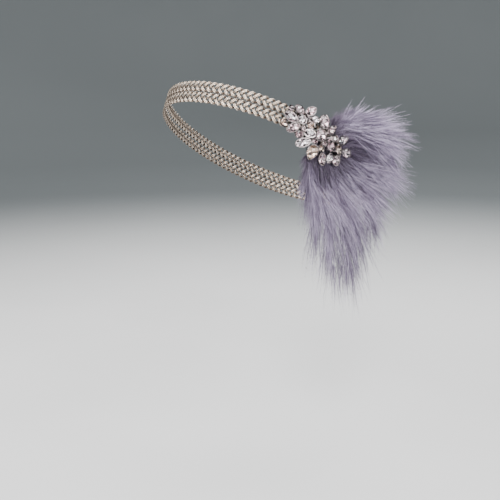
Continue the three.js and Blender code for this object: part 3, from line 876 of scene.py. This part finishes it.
def silver_material(shade_group):
    material, graph, shader = new_material("silver_plate", Metallic=1.0)
    low = placed_group(
        graph, shade_group, {"Low": 4.0 * MM, "High": 9.0 * MM, "Mottle": 0.35, "Mottle Scale": 500.0}
    )
    # Painted shade: the setting turns dark where it lies low, among the cups under the stones.
    graph.fill(shader.inputs["Base Color"], graph.colours(low["Mask"], SILVER, SILVER_PAINTED_SHADE))
    graph.fill(shader.inputs["Roughness"], graph.mottled(low["Mottle"], 0.16, 0.34))
    return material


def crystal_material(name, tint):
    material, graph, shader = new_material(name, Transmission_Weight=1.0, IOR=1.58)
    noise = graph.noise(graph.place(), scale=160.0, detail=1.0)
    graph.fill(shader.inputs["Base Color"], graph.colours(noise, tint, CRYSTAL_BRIGHT))
    graph.fill(shader.inputs["Roughness"], graph.mottled(noise, 0.0, 0.03))
    return material


def foil_material(name, tint):
    material, graph, shader = new_material(name, Metallic=1.0)
    noise = graph.noise(graph.place(), scale=300.0, detail=1.0)
    bright = graph.colours(noise, tint, FOIL_BRIGHT)
    # Painted dark reflections: facets with a low share get a dark foil colour, the rest a bright one.
    colour = graph.colours(graph.ramp(graph.painted("facet"), *PAINTED_DARK_FACETS), FOIL_PAINTED_DARK_REFLECTION, bright)
    graph.fill(shader.inputs["Base Color"], colour)
    graph.fill(shader.inputs["Roughness"], graph.mottled(noise, 0.03, 0.1))
    return material


def marabou_material(shade_group):
    material, graph, shader = new_material(
        "lilac_down", Roughness=0.85, Sheen_Weight=0.15, Sheen_Roughness=0.4
    )
    low = placed_group(
        graph, shade_group, {"Low": 1.0 * MM, "High": 8.0 * MM, "Mottle": 0.6, "Mottle Scale": 120.0}
    )
    # Barbs are lighter towards their tips, partly the down's own colour and partly a painted highlight.
    # Painted shade darkens them near the shaft's root and low down.
    tips = graph.ramp(graph.painted("along"), *DOWN_TIPS)
    light = graph.math("MULTIPLY", graph.painted("tone"), tips)
    light = graph.math("MULTIPLY", light, graph.ramp(low["Mottle"], *DOWN_MOTTLE))
    colour = graph.colours(light, DOWN_DEEP, DOWN_LIGHT)
    colour = graph.colours(graph.ramp(graph.painted("share"), *DOWN_ROOT_SHADE), colour, DOWN_ROOT_PAINTED_SHADE)
    colour = graph.colours(graph.math("MULTIPLY", low["Mask"], DOWN_RECESS_SHADE), colour, DOWN_PAINTED_SHADE)
    graph.fill(shader.inputs["Base Color"], colour)
    return material


def room_material():
    material, graph, shader = new_material("pale_room", Specular_IOR_Level=0.2)
    place = graph.place()
    noise = graph.noise(place, scale=6.0, detail=3.0)
    split = graph.node("ShaderNodeSeparateXYZ", {0: place}).outputs
    level = graph.node("ShaderNodeCombineXYZ", {"X": split["X"], "Y": split["Y"]}).outputs[0]
    floor = graph.colours(noise, FLOOR_DULL, FLOOR_BRIGHT)
    wall = graph.ramp(graph.length(level), FLOOR_REACH, WALL_REACH)
    graph.fill(shader.inputs["Base Color"], graph.colours(wall, floor, WALL))
    graph.fill(shader.inputs["Roughness"], graph.mottled(noise, 0.7, 0.85))
    return material


# Room
def studio_room():
    """A round pale floor that curves up into a plain wall."""
    turns = [2 * math.pi * k / ROOM_SIDES for k in range(ROOM_SIDES)]
    points = [
        (radius * math.cos(turn), radius * math.sin(turn), FLOOR_LEVEL + rise)
        for radius, rise in ROOM_PROFILE
        for turn in turns
    ]
    faces = [tuple(range(ROOM_SIDES))]
    for ring in range(len(ROOM_PROFILE) - 1):
        inner = ring * ROOM_SIDES
        outer = inner + ROOM_SIDES
        for k in range(ROOM_SIDES):
            next_k = (k + 1) % ROOM_SIDES
            faces.append((inner + k, outer + k, outer + next_k, inner + next_k))
    mesh = bpy.data.meshes.new("studio_room")
    mesh.from_pydata(points, [], faces)
    mesh.shade_smooth()
    mesh.materials.append(room_material())
    room = bpy.data.objects.new("studio_room", mesh)
    bpy.context.scene.collection.objects.link(room)


def soft_light(name, place, size, watts):
    lamp = bpy.data.lights.new(name, "AREA")
    lamp.size = size
    lamp.energy = watts
    light = bpy.data.objects.new(name, lamp)
    light.location = place
    aim = LIGHT_AIM - Vector(place)
    light.rotation_euler = aim.to_track_quat("-Z", "Y").to_euler()
    bpy.context.scene.collection.objects.link(light)


def set_room():
    studio_room()
    for light in SOFT_LIGHTS:
        soft_light(*light)
    world = bpy.data.worlds.new("studio_air")
    world.use_nodes = True
    air = world.node_tree.nodes["Background"]
    air.inputs["Color"].default_value = AIR
    air.inputs["Strength"].default_value = AIR_STRENGTH
    bpy.context.scene.world = world


def set_camera():
    lens = bpy.data.cameras.new("camera")
    lens.lens = CAMERA_LENS
    lens.sensor_width = CAMERA_SENSOR
    camera = bpy.data.objects.new("camera", lens)
    camera.location = CAMERA_PLACE
    camera.rotation_euler = CAMERA_TURN
    bpy.context.scene.collection.objects.link(camera)
    bpy.context.scene.camera = camera


# Pieces
def dress(piece, node):
    """Puts a piece on the body in the place of a node, and hides the node."""
    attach(piece, "root")
    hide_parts(node)


def make_band(shade_group):
    tree = plaited_row_tree()
    cord = braid_material(shade_group)
    for name, offset in (("braid_row_upper", ROW_OFFSET), ("braid_row_lower", -ROW_OFFSET)):
        values = {**PLAIT, "Fit": FIT, "Row Offset": offset, "Material": cord}
        row = grown(name, loop_path(), tree, values)
        row.data.shade_smooth()
        dress(row, "band")


def make_brooch(shade_group):
    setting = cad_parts["brooch_setting"]
    setting.data.materials.clear()
    setting.data.materials.append(silver_material(shade_group))
    clear = [crystal_material(tint.crystal, tint.crystal_colour) for tint in STONE_TINTS]
    foil = [foil_material(tint.foil, tint.foil_colour) for tint in STONE_TINTS]
    stones = sorted(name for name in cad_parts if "stone" in name)
    for number, node in enumerate(stones):
        tint = GOLDEN_TINT if node in GOLDEN_STONES else number % GOLDEN_TINT
        dress(cut_crystal(node, number, clear[tint], foil[tint]), node)


def make_plumes(shade_group):
    tree = marabou_tree()
    down = marabou_material(shade_group)
    for number, (name, (quill, locks)) in enumerate(PLUMES.items()):
        growth = GROWTH[name]
        guides = lock_guides(f"{name}_shafts", quill, locks, growth)
        for layer_number, layer in enumerate(LAYERS):
            values = {
                **layer.sizes,
                "Shaft Radius": SHAFT_RADIUS,
                "Barbs per Shaft": round(layer.barbs * growth.barbs / len(locks)),
                "Hairs per Barb": round(layer.sizes["Hairs per Barb"] * growth.hairs),
                "Hair Length": layer.sizes["Hair Length"] * growth.hair_length,
                "Least Lean": growth.least_lean,
                "Most Lean": growth.most_lean,
                "Seed": PLUME_SEEDS * number + LAYER_SEEDS * layer_number,
                "Material": down,
            }
            plume = grown(f"marabou_{name}_{layer.name}", guides, tree, values)
            dress(plume, f"feather_{name}")


set_camera()
set_room()
low_painted_shade = painted_shade_group()
make_band(low_painted_shade)
make_brooch(low_painted_shade)
make_plumes(low_painted_shade)
